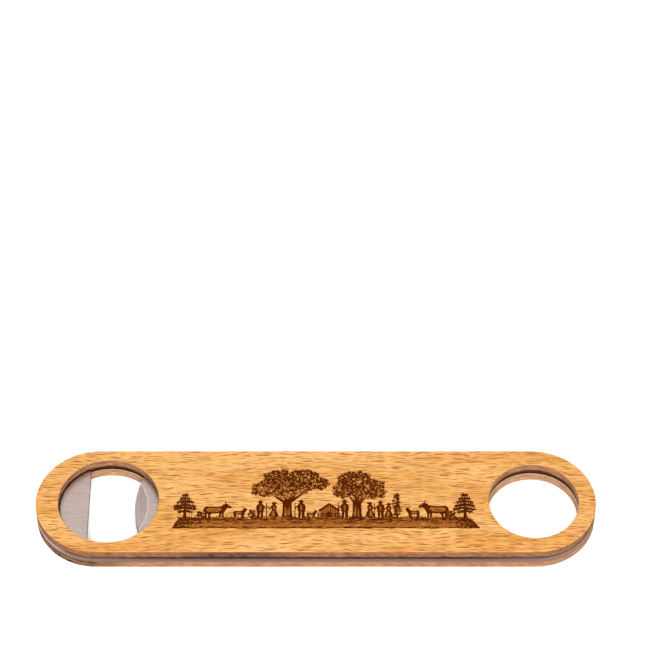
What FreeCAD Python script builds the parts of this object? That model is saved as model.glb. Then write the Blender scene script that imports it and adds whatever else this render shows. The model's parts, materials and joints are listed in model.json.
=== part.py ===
"""Flat wooden bottle opener: a stamped stainless blade bonded between two round-ended beech scales.

Row frame: +X runs from the cap-lifter end to the hanging-ring end, +Z points up, and the origin is the
centre of the underside. From the bottom up the stack is scale, bonding film, blade, bonding film, scale.
Every size is a cell of the Dimensions sheet, in millimetres or degrees.
"""

import FreeCAD, Part
import math
import os
import Sketcher

PARTS_FOLDER = "parts"
SHEET = "Dimensions"

# name, value, what it is
DIMENSIONS = [
    ("body_length", 180.0, "overall length"),
    ("body_width", 40.0, "overall width, so the round ends have half of it as radius"),
    ("scale_thick", 3.0, "thickness of one beech scale"),
    ("film_thick", 0.15, "thickness of one bonding film"),
    ("blade_thick", 2.0, "thickness of the stainless blade"),
    ("window_centre", -66.6, "X of the cap window's centre"),
    ("window_radius", 16.2, "cap window in the scales, round a 32.1 mm crown cap"),
    ("ring_centre", 70.0, "X of the hanging ring's centre, which is the round end's centre"),
    ("ring_radius", 14.5, "hanging hole in the scales"),
    ("blade_ring_radius", 14.8, "hanging hole in the blade, just behind the wood"),
    ("mouth_radius", 16.6, "round sides of the blade's mouth, just behind the wood"),
    ("fulcrum_edge", -73.15, "X of the straight edge that rests on the cap's top"),
    ("lip_edge_centre", -29.5, "X of the centre of the lip's free edge"),
    ("lip_edge_radius", 28.8, "radius of the lip's free edge"),
    ("crease_centre", -71.0, "X of the centre of the lip's crease"),
    ("crease_radius", 16.9, "radius of the lip's crease"),
    ("lip_angle", 12.0, "how far the lip is pressed down from the blade, in degrees"),
    ("dish_inner", 9.0, "inner radius of the pressed dish that the lip is trimmed from"),
    ("trim_width", 45.0, "width of the band that trims the dish to the lip's free edge"),
    ("film_setback", 0.3, "how far the films stop short of the outline"),
    ("film_clearance", 0.2, "how far the films stop short of the blade's openings"),
    ("wood_easing", 0.15, "sanded edge of the scales' outer faces"),
    ("blade_easing", 0.4, "tumbled outer edge of the blade"),
    ("ring_easing", 0.3, "tumbled edge of the blade's ring hole"),
]
SIZE = {name: value for name, value, _ in DIMENSIONS}
FLAT = 1e-6


def make_sheet(doc):
    """The spreadsheet that drives every body."""
    sheet = doc.addObject("Spreadsheet::Sheet", SHEET)
    for row, (name, value, meaning) in enumerate(DIMENSIONS, start=1):
        sheet.set(f"A{row}", name)
        sheet.set(f"B{row}", str(value))
        sheet.set(f"C{row}", meaning)
        sheet.setAlias(f"B{row}", name)
    doc.recompute()
    return sheet


def cell(name):
    """A cell of the sheet, as an expression."""
    return f"{SHEET}.{name}"


def make_body(doc, name):
    body = doc.addObject("PartDesign::Body", name)
    body.Label = name
    return body


def make_sketch(body, name, plane):
    """A sketch on one of the body's own origin planes, such as XY_Plane."""
    sketch = body.newObject("Sketcher::SketchObject", name)
    support = next(f for f in body.Origin.OriginFeatures if f.Role == plane)
    sketch.AttachmentSupport = [(support, "")]
    sketch.MapMode = "FlatFace"
    return sketch


def bind(sketch, constraint, expression):
    """Adds a constraint and drives it with an expression, which gives it its value."""
    index = sketch.addConstraint(constraint)
    name = f"size_{index}"
    sketch.renameConstraint(index, name)
    sketch.setExpression(f"Constraints.{name}", expression)


def place_centre(sketch, curve, expression):
    """Puts the centre of a circle or arc on the X axis, at a distance from the origin."""
    centre_x = sketch.Geometry[curve].Center.x
    sketch.addConstraint(Sketcher.Constraint("PointOnObject", curve, 3, -1))
    if centre_x < 0:
        bind(sketch, Sketcher.Constraint("DistanceX", curve, 3, -1, 1, -centre_x), f"-({expression})")
    else:
        bind(sketch, Sketcher.Constraint("DistanceX", -1, 1, curve, 3, centre_x), expression)


def circle_at(centre, radius):
    return Part.Circle(centre, FreeCAD.Vector(0, 0, 1), radius)


def draw_circle(sketch, centre, radius, centre_expression, radius_expression):
    curve = sketch.addGeometry(circle_at(FreeCAD.Vector(centre, 0, 0), radius))
    place_centre(sketch, curve, centre_expression)
    bind(sketch, Sketcher.Constraint("Radius", curve, radius), radius_expression)
    return curve


def draw_outline(sketch, setback=None):
    """The round-ended outline, made smaller all round by the sheet's cell named setback."""
    inset = SIZE[setback] if setback else 0.0
    less = f" - {cell(setback)}" if setback else ""
    radius = SIZE["body_width"] / 2 - inset
    centre = SIZE["body_length"] / 2 - SIZE["body_width"] / 2
    quarter = math.pi / 2
    right = Part.ArcOfCircle(circle_at(FreeCAD.Vector(centre, 0, 0), radius), -quarter, quarter)
    left = Part.ArcOfCircle(circle_at(FreeCAD.Vector(-centre, 0, 0), radius), quarter, 3 * quarter)
    back = Part.LineSegment(FreeCAD.Vector(centre, radius, 0), FreeCAD.Vector(-centre, radius, 0))
    front = Part.LineSegment(FreeCAD.Vector(-centre, -radius, 0), FreeCAD.Vector(centre, -radius, 0))
    right, back, left, front = sketch.addGeometry([right, back, left, front])
    for curve, following in ((right, back), (back, left), (left, front), (front, right)):
        sketch.addConstraint(Sketcher.Constraint("Tangent", curve, 2, following, 1))
    half_straight = f"({cell('body_length')} - {cell('body_width')}) / 2"
    place_centre(sketch, right, half_straight)
    place_centre(sketch, left, f"-{half_straight}")
    bind(sketch, Sketcher.Constraint("Radius", right, radius), f"{cell('body_width')} / 2{less}")


def draw_mouth(sketch):
    """The blade's cap opening: a straight fulcrum edge, two round sides, and the lip with its crease."""
    window = FreeCAD.Vector(SIZE["window_centre"], 0, 0)
    edge_centre = FreeCAD.Vector(SIZE["lip_edge_centre"], 0, 0)
    crease_centre = FreeCAD.Vector(SIZE["crease_centre"], 0, 0)
    fulcrum_corner = point_at(window, SIZE["mouth_radius"], SIZE["fulcrum_edge"])
    side_corner = meeting(window, SIZE["mouth_radius"], edge_centre, SIZE["lip_edge_radius"])
    lip_tip = meeting(crease_centre, SIZE["crease_radius"], edge_centre, SIZE["lip_edge_radius"])

    fulcrum = Part.LineSegment(mirrored(fulcrum_corner), fulcrum_corner)
    far_side = arc(window, SIZE["mouth_radius"], side_corner, fulcrum_corner)
    far_edge = arc(edge_centre, SIZE["lip_edge_radius"], side_corner, lip_tip)
    crease = arc(crease_centre, SIZE["crease_radius"], mirrored(lip_tip), lip_tip)
    near_edge = arc(edge_centre, SIZE["lip_edge_radius"], mirrored(lip_tip), mirrored(side_corner))
    near_side = arc(window, SIZE["mouth_radius"], mirrored(fulcrum_corner), mirrored(side_corner))
    fulcrum, far_side, far_edge, crease, near_edge, near_side = sketch.addGeometry(
        [fulcrum, far_side, far_edge, crease, near_edge, near_side]
    )
    start, end = 1, 2
    for first, first_point, second, second_point in (
        (fulcrum, end, far_side, end),
        (far_side, start, far_edge, start),
        (far_edge, end, crease, end),
        (crease, start, near_edge, start),
        (near_edge, end, near_side, end),
        (near_side, start, fulcrum, start),
    ):
        sketch.addConstraint(Sketcher.Constraint("Coincident", first, first_point, second, second_point))
    for curve, centre, radius in (
        (far_side, "window_centre", "mouth_radius"),
        (near_side, "window_centre", "mouth_radius"),
        (far_edge, "lip_edge_centre", "lip_edge_radius"),
        (near_edge, "lip_edge_centre", "lip_edge_radius"),
        (crease, "crease_centre", "crease_radius"),
    ):
        place_centre(sketch, curve, cell(centre))
        bind(sketch, Sketcher.Constraint("Radius", curve, SIZE[radius]), cell(radius))
    sketch.addConstraint(Sketcher.Constraint("Vertical", fulcrum))
    bind(
        sketch,
        Sketcher.Constraint("DistanceX", fulcrum, start, -1, 1, -SIZE["fulcrum_edge"]),
        f"-{cell('fulcrum_edge')}",
    )


def point_at(centre, radius, x):
    """The point of a circle at x, on the +Y side."""
    return FreeCAD.Vector(x, math.sqrt(radius**2 - (x - centre.x) ** 2), 0)


def meeting(first, first_radius, second, second_radius):
    """Where two circles centred on the X axis meet, on the +Y side."""
    apart = second.x - first.x
    along = (first_radius**2 - second_radius**2 + apart**2) / (2 * apart)
    return point_at(first, first_radius, first.x + along)


def mirrored(point):
    return FreeCAD.Vector(point.x, -point.y, 0)


def arc(centre, radius, first, last):
    """The arc that runs anticlockwise from first to last."""
    return Part.ArcOfCircle(circle_at(centre, radius), angle_of(first - centre), angle_of(last - centre))


def angle_of(vector):
    return math.atan2(vector.y, vector.x)


def add_pad(body, sketch, thickness):
    pad = body.newObject("PartDesign::Pad", f"{body.Name}_plate")
    pad.Profile = sketch
    pad.setExpression("Length", cell(thickness))
    return pad


def edges_at(shape, height):
    """Names of the edges that lie flat at a height."""
    found = []
    for index, edge in enumerate(shape.Edges, start=1):
        box = edge.BoundBox
        if abs(box.ZMin - height) < FLAT and abs(box.ZMax - height) < FLAT:
            found.append(f"Edge{index}")
    return found


def edges_near(shape, names, centre, radius):
    """Those named edges that are arcs of one circle."""
    found = []
    for name in names:
        curve = shape.getElement(name).Curve
        if not isinstance(curve, Part.Circle):
            continue
        if abs(curve.Radius - radius) < FLAT and abs(curve.Center.x - centre) < FLAT:
            found.append(name)
    return found


def add_fillet(body, base, names, radius, label):
    fillet = body.newObject("PartDesign::Fillet", f"{body.Name}_{label}")
    fillet.Base = (base, names)
    fillet.setExpression("Radius", cell(radius))
    body.Tip = fillet
    return fillet


def make_scale(doc, name, height, outer_face_height):
    """A beech scale with its two round windows, eased along the edges of its outer face."""
    body = make_body(doc, name)
    sketch = make_sketch(body, f"{name}_profile", "XY_Plane")
    draw_outline(sketch)
    draw_circle(
        sketch, SIZE["window_centre"], SIZE["window_radius"], cell("window_centre"), cell("window_radius")
    )
    draw_circle(sketch, SIZE["ring_centre"], SIZE["ring_radius"], cell("ring_centre"), cell("ring_radius"))
    pad = add_pad(body, sketch, "scale_thick")
    doc.recompute()
    add_fillet(body, pad, edges_at(pad.Shape, outer_face_height), "wood_easing", "easing")
    body.setExpression("Placement.Base.z", height)
    return body


def make_film(doc, name, height):
    """A die-cut bonding film, set back from the outline and from the blade's openings."""
    body = make_body(doc, name)
    sketch = make_sketch(body, f"{name}_profile", "XY_Plane")
    draw_outline(sketch, "film_setback")
    for centre, radius in (("window_centre", "mouth_radius"), ("ring_centre", "blade_ring_radius")):
        draw_circle(
            sketch,
            SIZE[centre],
            SIZE[radius] + SIZE["film_clearance"],
            cell(centre),
            f"{cell(radius)} + {cell('film_clearance')}",
        )
    add_pad(body, sketch, "film_thick")
    body.setExpression("Placement.Base.z", height)
    return body


def add_lip(doc, body):
    """The pressed lip: a shallow conical dish about the crease's centre, trimmed to the lip's free edge."""
    profile = make_sketch(body, "lip_profile", "XZ_Plane")
    inner = SIZE["crease_centre"] + SIZE["dish_inner"]
    outer = SIZE["crease_centre"] + SIZE["crease_radius"]
    drop = (SIZE["crease_radius"] - SIZE["dish_inner"]) * math.tan(math.radians(SIZE["lip_angle"]))
    corners = [
        FreeCAD.Vector(outer, 0, 0),
        FreeCAD.Vector(outer, SIZE["blade_thick"], 0),
        FreeCAD.Vector(inner, SIZE["blade_thick"] - drop, 0),
        FreeCAD.Vector(inner, -drop, 0),
    ]
    crease, top, inside, bottom = profile.addGeometry(
        [Part.LineSegment(a, b) for a, b in zip(corners, corners[1:] + corners[:1])]
    )
    for side, following in ((crease, top), (top, inside), (inside, bottom), (bottom, crease)):
        profile.addConstraint(Sketcher.Constraint("Coincident", side, 2, following, 1))
    profile.addConstraint(Sketcher.Constraint("Vertical", crease))
    profile.addConstraint(Sketcher.Constraint("Vertical", inside))
    profile.addConstraint(Sketcher.Constraint("Parallel", top, bottom))
    profile.addConstraint(Sketcher.Constraint("PointOnObject", crease, 1, -1))
    drop_expression = (
        f"({cell('crease_radius')} - {cell('dish_inner')}) * tan({cell('lip_angle')} * 1deg)"
    )
    thick = SIZE["blade_thick"]
    bind(profile, Sketcher.Constraint("DistanceY", crease, 1, crease, 2, thick), cell("blade_thick"))
    bind(profile, Sketcher.Constraint("DistanceY", inside, 2, -1, 1, drop), drop_expression)
    bind(
        profile,
        Sketcher.Constraint("DistanceX", crease, 1, -1, 1, -outer),
        f"-{cell('crease_centre')} - {cell('crease_radius')}",
    )
    bind(
        profile,
        Sketcher.Constraint("DistanceX", inside, 1, -1, 1, -inner),
        f"-{cell('crease_centre')} - {cell('dish_inner')}",
    )
    axis_foot = FreeCAD.Vector(SIZE["crease_centre"], 0, 0)
    axis_top = FreeCAD.Vector(SIZE["crease_centre"], SIZE["blade_thick"], 0)
    axis = profile.addGeometry(Part.LineSegment(axis_foot, axis_top), True)
    profile.addConstraint(Sketcher.Constraint("Vertical", axis))
    profile.addConstraint(Sketcher.Constraint("PointOnObject", axis, 1, -1))
    bind(
        profile,
        Sketcher.Constraint("DistanceX", axis, 1, -1, 1, -SIZE["crease_centre"]),
        f"-{cell('crease_centre')}",
    )
    bind(profile, Sketcher.Constraint("DistanceY", axis, 1, axis, 2, thick), cell("blade_thick"))

    dish = body.newObject("PartDesign::Revolution", "lip_dish")
    dish.Profile = profile
    dish.ReferenceAxis = (profile, ["Axis0"])
    dish.Angle = 360.0
    doc.recompute()
    dish_volume = dish.Shape.Volume

    trim = make_sketch(body, "lip_trim", "XY_Plane")
    draw_circle(
        trim,
        SIZE["lip_edge_centre"],
        SIZE["lip_edge_radius"],
        cell("lip_edge_centre"),
        cell("lip_edge_radius"),
    )
    draw_circle(
        trim,
        SIZE["lip_edge_centre"],
        SIZE["lip_edge_radius"] + SIZE["trim_width"],
        cell("lip_edge_centre"),
        f"{cell('lip_edge_radius')} + {cell('trim_width')}",
    )
    pocket = body.newObject("PartDesign::Pocket", "lip_free_edge")
    pocket.Profile = trim
    pocket.Type = "ThroughAll"
    pocket.Midplane = True
    doc.recompute()
    if not 0 < pocket.Shape.Volume < dish_volume / 2:
        raise RuntimeError("the lip's trim cut the wrong side of the dish")


def make_blade(doc, name, height):
    """The stamped blade: plate, mouth, pressed lip and ring hole, with tumbled edges."""
    body = make_body(doc, name)
    add_lip(doc, body)
    sketch = make_sketch(body, "blade_profile", "XY_Plane")
    draw_outline(sketch)
    draw_circle(
        sketch,
        SIZE["ring_centre"],
        SIZE["blade_ring_radius"],
        cell("ring_centre"),
        cell("blade_ring_radius"),
    )
    draw_mouth(sketch)
    pad = add_pad(body, sketch, "blade_thick")
    doc.recompute()
    flat_edges = edges_at(pad.Shape, 0) + edges_at(pad.Shape, SIZE["blade_thick"])
    outline = [n for n in flat_edges if on_outline(pad.Shape.getElement(n))]
    rounded = add_fillet(body, pad, outline, "blade_easing", "tumbled_outline")
    doc.recompute()
    flat_edges = edges_at(rounded.Shape, 0) + edges_at(rounded.Shape, SIZE["blade_thick"])
    ring = edges_near(rounded.Shape, flat_edges, SIZE["ring_centre"], SIZE["blade_ring_radius"])
    add_fillet(body, rounded, ring, "ring_easing", "tumbled_ring")
    body.setExpression("Placement.Base.z", height)
    return body


def on_outline(edge):
    """True if an edge of the plate lies on its outer outline."""
    radius = SIZE["body_width"] / 2
    half_straight = SIZE["body_length"] / 2 - radius
    for point in (edge.valueAt(edge.FirstParameter), edge.valueAt(edge.LastParameter)):
        beyond = max(abs(point.x) - half_straight, 0.0)
        if abs(math.hypot(beyond, point.y) - radius) > FLAT:
            return False
    return True


def check(doc, bodies):
    """Stops before anything is written if an object failed or a body isn't one valid solid."""
    for item in doc.Objects:
        if "Invalid" in item.State or "Error" in item.State:
            raise RuntimeError(f"{item.Name} failed: {item.State}")
    for body in bodies:
        shape = body.Shape
        if shape.isNull() or not shape.isValid() or len(shape.Solids) != 1:
            raise RuntimeError(f"{body.Label} isn't one valid solid")


def main():
    doc = FreeCAD.newDocument("BottleOpener")
    make_sheet(doc)
    lower_film_z = cell("scale_thick")
    blade_z = f"{lower_film_z} + {cell('film_thick')}"
    upper_film_z = f"{blade_z} + {cell('blade_thick')}"
    upper_scale_z = f"{upper_film_z} + {cell('film_thick')}"
    bodies = [
        make_scale(doc, "bottom_scale", "0 mm", 0.0),
        make_film(doc, "bottom_bonding_film", lower_film_z),
        make_blade(doc, "steel_blade", blade_z),
        make_film(doc, "top_bonding_film", upper_film_z),
        make_scale(doc, "top_scale", upper_scale_z, SIZE["scale_thick"]),
    ]
    doc.recompute()
    check(doc, bodies)
    os.makedirs(PARTS_FOLDER, exist_ok=True)
    for body in bodies:
        body.Shape.exportStep(os.path.join(PARTS_FOLDER, f"{body.Label}.step"))
        box = body.Shape.BoundBox
        print(
            f"{body.Label}: {body.Shape.Volume:.1f} mm3, x {box.XMin:.2f} to {box.XMax:.2f},"
            f" y {box.YMin:.2f} to {box.YMax:.2f}, z {box.ZMin:.2f} to {box.ZMax:.2f}"
        )


main()
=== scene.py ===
"""Looks for the wooden bottle opener: engraved beech, brushed steel, floor, light and camera."""

import json
import math
import random
from collections import Counter

import bmesh
import bpy
import numpy as np
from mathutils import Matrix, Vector
from mathutils.geometry import delaunay_2d_cdt


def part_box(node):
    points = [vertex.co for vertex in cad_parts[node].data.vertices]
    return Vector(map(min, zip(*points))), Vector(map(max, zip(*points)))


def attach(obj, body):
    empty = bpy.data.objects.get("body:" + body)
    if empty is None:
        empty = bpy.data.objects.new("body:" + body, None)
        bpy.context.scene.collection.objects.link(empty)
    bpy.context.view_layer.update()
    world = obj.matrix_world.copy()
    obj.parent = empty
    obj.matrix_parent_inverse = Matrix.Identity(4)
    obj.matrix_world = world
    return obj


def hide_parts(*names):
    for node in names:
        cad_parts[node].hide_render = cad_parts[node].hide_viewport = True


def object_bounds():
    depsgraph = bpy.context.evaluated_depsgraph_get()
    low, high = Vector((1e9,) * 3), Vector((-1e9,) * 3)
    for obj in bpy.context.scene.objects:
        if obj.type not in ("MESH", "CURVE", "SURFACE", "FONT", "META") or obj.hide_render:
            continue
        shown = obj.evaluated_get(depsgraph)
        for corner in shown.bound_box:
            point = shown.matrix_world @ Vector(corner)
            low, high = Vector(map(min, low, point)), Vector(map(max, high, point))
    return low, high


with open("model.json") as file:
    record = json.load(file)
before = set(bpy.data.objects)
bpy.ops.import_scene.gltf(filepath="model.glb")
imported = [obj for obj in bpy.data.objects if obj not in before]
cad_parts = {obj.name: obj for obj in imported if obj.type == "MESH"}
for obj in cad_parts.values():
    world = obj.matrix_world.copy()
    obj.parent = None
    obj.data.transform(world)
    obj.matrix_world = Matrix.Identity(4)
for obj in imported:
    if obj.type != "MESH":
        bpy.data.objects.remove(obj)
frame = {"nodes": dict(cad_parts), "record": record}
cad_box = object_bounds()

MM = 0.001
WELD = 0.0005 * MM
SMOOTH_BELOW = math.radians(30)

# The laser burns each tone of the picture to its own depth, in millimetres.
UNCUT, LIGHT, DEEP = 0, 1, 2
DEPTHS = (0.0, 0.12, 0.26)

# Corners nearer than this are one, and a pin prick of this radius joins cuts that only touch, both in
# millimetres.
NEARNESS = 0.002
PRICK = 0.05

# The pressed lip lies beyond its start along X and within the crease, a circle about (CREASE_X, 0).
CREASE_X = -71.0 * MM
CREASE_RADIUS = 16.9 * MM
LIP_START = -64.0 * MM

# ---------------------------------------------------------------- shapes of the picture, in millimetres


def lens(x, y, length, thick, angle):
    """A pointed leaf that starts at (x, y) and runs along angle."""
    outline = ((0, 0), (0.25, 0.42), (0.6, 0.5), (1, 0), (0.6, -0.5), (0.25, -0.42))
    along_x, along_y = math.cos(angle), math.sin(angle)
    made = []
    for along, across in outline:
        px = x + along_x * along * length - along_y * across * thick
        py = y + along_y * along * length + along_x * across * thick
        made.append((px, py))
    return made


def bar(x0, y0, x1, y1, width, end_width=None):
    """A straight bar, which can taper."""
    end_width = width if end_width is None else end_width
    run = Vector((x1 - x0, y1 - y0)).normalized()
    side_x, side_y = -run.y / 2, run.x / 2
    return [
        (x0 + side_x * width, y0 + side_y * width),
        (x0 - side_x * width, y0 - side_y * width),
        (x1 - side_x * end_width, y1 - side_y * end_width),
        (x1 + side_x * end_width, y1 + side_y * end_width),
    ]


def inside(starts, ends, xs, ys):
    """Which of the points lie inside the outline whose edges run from starts to ends."""
    found = np.zeros(len(xs), bool)
    for (ax, ay), (bx, by) in zip(starts, ends):
        if ay != by:
            crosses = (ay > ys) != (by > ys)
            found ^= crosses & (xs < ax + (ys - ay) * (bx - ax) / (by - ay))
    return found


class Picture:
    """Shapes painted one over another, each with a tone. The last one painted shows."""

    def __init__(self):
        self.shapes = []

    def paint(self, tone, outline):
        self.shapes.append((tone, outline))

    def figure(self, parts, x, y, size, facing=1):
        """Paints parts about their own foot, at (x, y). Facing is 1 to the right, -1 to the left."""
        for tone, outline in parts:
            self.paint(tone, [(x + facing * size * px, y + size * py) for px, py in outline])

    def tones_at(self, points):
        """The tone under each point."""
        tones = np.full(len(points), UNCUT)
        order = np.argsort(points[:, 0])
        xs = points[order, 0]
        ys = points[order, 1]
        for tone, outline in self.shapes:
            corners = np.array(outline)
            first, last = np.searchsorted(xs, (corners[:, 0].min(), corners[:, 0].max()))
            covered = inside(corners, np.roll(corners, -1, axis=0), xs[first:last], ys[first:last])
            tones[order[first:last][covered]] = tone
        return tones


# ---------------------------------------------------------------- what the picture shows

GROUND_TOP = -6.7
GROUND_BOTTOM = -10.85
GROUND_LEFT = -46.0
GROUND_RIGHT = 52.6
LEFT_SLOPE = 1.9
RIGHT_SLOPE = 3.0


def draw_strokes(picture, rng, tone, count, low, high, longest, thickest):
    """Short level strokes, scattered over the ground between two heights."""
    for _ in range(count):
        y = rng.uniform(low, high)
        climb = (y - GROUND_BOTTOM) / (GROUND_TOP - GROUND_BOTTOM)
        length = longest * rng.uniform(0.35, 1.0)
        left = GROUND_LEFT + LEFT_SLOPE * climb
        right = GROUND_RIGHT - RIGHT_SLOPE * climb
        x = rng.uniform(left, right - length)
        thick = thickest * rng.uniform(0.5, 1.0)
        picture.paint(tone, lens(x, y, length, thick, rng.uniform(-0.1, 0.1)))


def draw_bank(picture, rng, end, slope):
    """Dark strokes over the sloping end of the ground, thinning out inwards."""
    strokes = 190
    inwards = math.copysign(1.0, slope)
    for _ in range(strokes):
        climb = rng.random()
        x = end + slope * climb + inwards * (0.35 + rng.expovariate(1 / 2.4))
        y = GROUND_BOTTOM + 0.2 + climb * (GROUND_TOP - GROUND_BOTTOM - 0.35)
        picture.paint(DEEP, lens(x - 0.45, y, 0.9, 0.3, rng.uniform(-0.4, 0.4)))


def draw_ground(picture, rng):
    top = []
    x = GROUND_RIGHT - RIGHT_SLOPE
    while x > GROUND_LEFT + LEFT_SLOPE:
        top.append((x, GROUND_TOP + 0.28 * math.sin(x * 0.37) + rng.uniform(-0.15, 0.15)))
        x -= rng.uniform(0.9, 1.6)
    bottom = []
    x = GROUND_LEFT
    while x < GROUND_RIGHT:
        bottom.append((x, GROUND_BOTTOM + rng.uniform(-0.08, 0.08)))
        x += rng.uniform(3.0, 5.0)
    picture.paint(LIGHT, bottom + [(GROUND_RIGHT, GROUND_BOTTOM)] + top)
    draw_strokes(picture, rng, DEEP, 400, GROUND_TOP - 0.9, GROUND_TOP, 2.8, 0.34)
    draw_strokes(picture, rng, DEEP, 240, GROUND_TOP - 2.4, GROUND_TOP - 0.9, 3.0, 0.28)
    draw_strokes(picture, rng, DEEP, 170, GROUND_BOTTOM + 0.1, GROUND_BOTTOM + 0.7, 3.4, 0.34)
    draw_strokes(picture, rng, UNCUT, 34, GROUND_BOTTOM + 0.9, GROUND_BOTTOM + 1.7, 2.4, 0.18)
    draw_bank(picture, rng, GROUND_LEFT, LEFT_SLOPE)
    draw_bank(picture, rng, GROUND_RIGHT, -RIGHT_SLOPE)


def draw_grass(picture, rng):
    x = GROUND_LEFT + 2.0
    while x < GROUND_RIGHT - 4.0:
        for lean in (-0.5, 0.0, 0.45):
            angle = math.pi / 2 + lean + rng.uniform(-0.2, 0.2)
            picture.paint(DEEP, lens(x, GROUND_TOP - 0.25, rng.uniform(0.6, 1.3), 0.24, angle))
        x += rng.uniform(0.45, 1.2)


def draw_rosette(picture, rng, x, y, size, tone):
    """A tuft of leaves that spread from one point."""
    leaves = rng.choice((5, 6, 7))
    turn = rng.uniform(0, math.pi)
    for i in range(leaves):
        angle = turn + 2 * math.pi * i / leaves + rng.uniform(-0.2, 0.2)
        picture.paint(tone, lens(x, y, size * rng.uniform(0.85, 1.25), size * 0.44, angle))


def in_lobes(spot, lobes):
    """Whether the spot lies in one of the ellipses."""
    return any(((spot[0] - x) / w) ** 2 + ((spot[1] - y) / h) ** 2 < 1.0 for x, y, w, h in lobes)


def draw_crown(picture, rng, lobes, spacing=0.86, dark=0.8, gaps=4):
    """
    A leafy crown: tufts of leaves all over its lobes, ellipses of (x, y, half width, half height).
    Every tuft is browned, a share of them is burnt deep, and one in gaps has a bare speck on it.
    """
    left = min(x - w for x, y, w, h in lobes)
    right = max(x + w for x, y, w, h in lobes)
    low = min(y - h for x, y, w, h in lobes)
    high = max(y + h for x, y, w, h in lobes)
    jitter = 0.33
    row_height = spacing * 0.86
    spots = []
    y = low
    while y < high:
        x = left
        while x < right:
            spot = (x + rng.uniform(-jitter, jitter), y + rng.uniform(-jitter, jitter))
            if in_lobes(spot, lobes) and rng.random() > 0.05:
                spots.append(spot)
            x += spacing
        y += row_height
    rng.shuffle(spots)
    for x, y in spots:
        draw_rosette(picture, rng, x, y, spacing * 0.95, LIGHT)
    for x, y in spots:
        if rng.random() < dark:
            draw_rosette(picture, rng, x, y, spacing * rng.uniform(0.7, 0.95), DEEP)
    for x, y in spots[::gaps]:
        picture.paint(UNCUT, lens(x, y, rng.uniform(0.4, 0.75), 0.38, rng.uniform(0, math.pi)))


def draw_broad_tree(picture, rng, x, lower_lobes, upper_lobes, trunk_width, fork_height):
    """A spreading tree with a forked trunk, darker in its upper lobes than in its lower ones."""
    foot = GROUND_TOP - 0.3
    half = trunk_width / 2
    fork = foot + fork_height
    trunk = [
        (x - half * 1.9, foot), (x - half * 1.1, foot + 0.8), (x - half * 0.95, foot + 2.2),
        (x - half * 0.9, fork), (x + half * 0.95, fork), (x + half, foot + 2.0),
        (x + half * 1.15, foot + 0.7), (x + half * 2.0, foot),
    ]
    picture.paint(DEEP, trunk)
    for cx, cy, w, h in lower_lobes + upper_lobes:
        start_x = x + 0.15 * (cx - x) / w
        tip_x = x + (cx - x) * 0.8
        tip_y = fork + (cy - fork) * 0.75
        picture.paint(DEEP, bar(start_x, fork - 0.6, tip_x, tip_y, trunk_width * 0.42, 0.25))
    furrows = 7
    for _ in range(furrows):
        start_x = x + half * rng.uniform(-0.62, 0.62)
        length = rng.uniform(1.6, fork_height - 1.2)
        angle = math.pi / 2 + rng.uniform(-0.06, 0.06)
        picture.paint(LIGHT, lens(start_x, foot + rng.uniform(0.3, 1.6), length, 0.34, angle))
    draw_crown(picture, rng, lower_lobes, dark=0.62)
    draw_crown(picture, rng, upper_lobes, dark=0.9)


def draw_fir(picture, rng, x, height, width):
    """A layered fir: tiers of drooping boughs with bare wood showing between them."""
    tuft = 0.78
    tuft_spacing = 0.62
    foot = GROUND_TOP - 0.3
    picture.paint(DEEP, bar(x, foot, x, foot + height * 0.96, width * 0.17, 0.25))
    reaches = (0.62, 1.0, 0.94, 0.7, 0.44, 0.2)
    for tier, widest in enumerate(reaches):
        share = tier / (len(reaches) - 1)
        start_y = foot + height * (0.3 + 0.62 * share)
        for side in (-1, 1):
            reach = side * width / 2 * widest * rng.uniform(0.86, 1.04)
            drop = width / 2 * widest * rng.uniform(0.16, 0.3)
            picture.paint(DEEP, bar(x, start_y, x + reach, start_y - drop, 0.75, 0.3))
            tufts = max(2, round(abs(reach) / tuft_spacing))
            for i in range(1, tufts + 1):
                along = i / tufts
                tuft_y = start_y - drop * along + rng.uniform(-0.12, 0.2)
                draw_rosette(picture, rng, x + reach * along, tuft_y, tuft, DEEP)


def draw_slim_tree(picture, rng, x, height, width):
    foot = GROUND_TOP - 0.3
    picture.paint(DEEP, bar(x, foot, x, foot + height * 0.6, 0.7, 0.3))
    half = width / 2
    lobes = [
        (x, foot + height * 0.32, half, height * 0.19),
        (x - 0.1, foot + height * 0.58, half * 0.85, height * 0.19),
        (x + 0.1, foot + height * 0.82, half * 0.5, height * 0.16),
    ]
    draw_crown(picture, rng, lobes, spacing=0.75, gaps=7)


def draw_bush(picture, rng, x, width, height):
    lobes = [(x, GROUND_TOP + height * 0.42, width / 2, height / 2)]
    draw_crown(picture, rng, lobes, spacing=0.75, gaps=7)


def draw_fence(picture, left, right):
    posts = 6
    for i in range(posts):
        x = left + (right - left) * i / (posts - 1)
        picture.paint(DEEP, bar(x, GROUND_TOP - 0.2, x, GROUND_TOP + 2.1, 0.42, 0.34))
    for height in (0.7, 1.5):
        rail_y = GROUND_TOP + height
        picture.paint(DEEP, bar(left - 0.5, rail_y, right + 0.5, rail_y + 0.12, 0.32))


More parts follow.
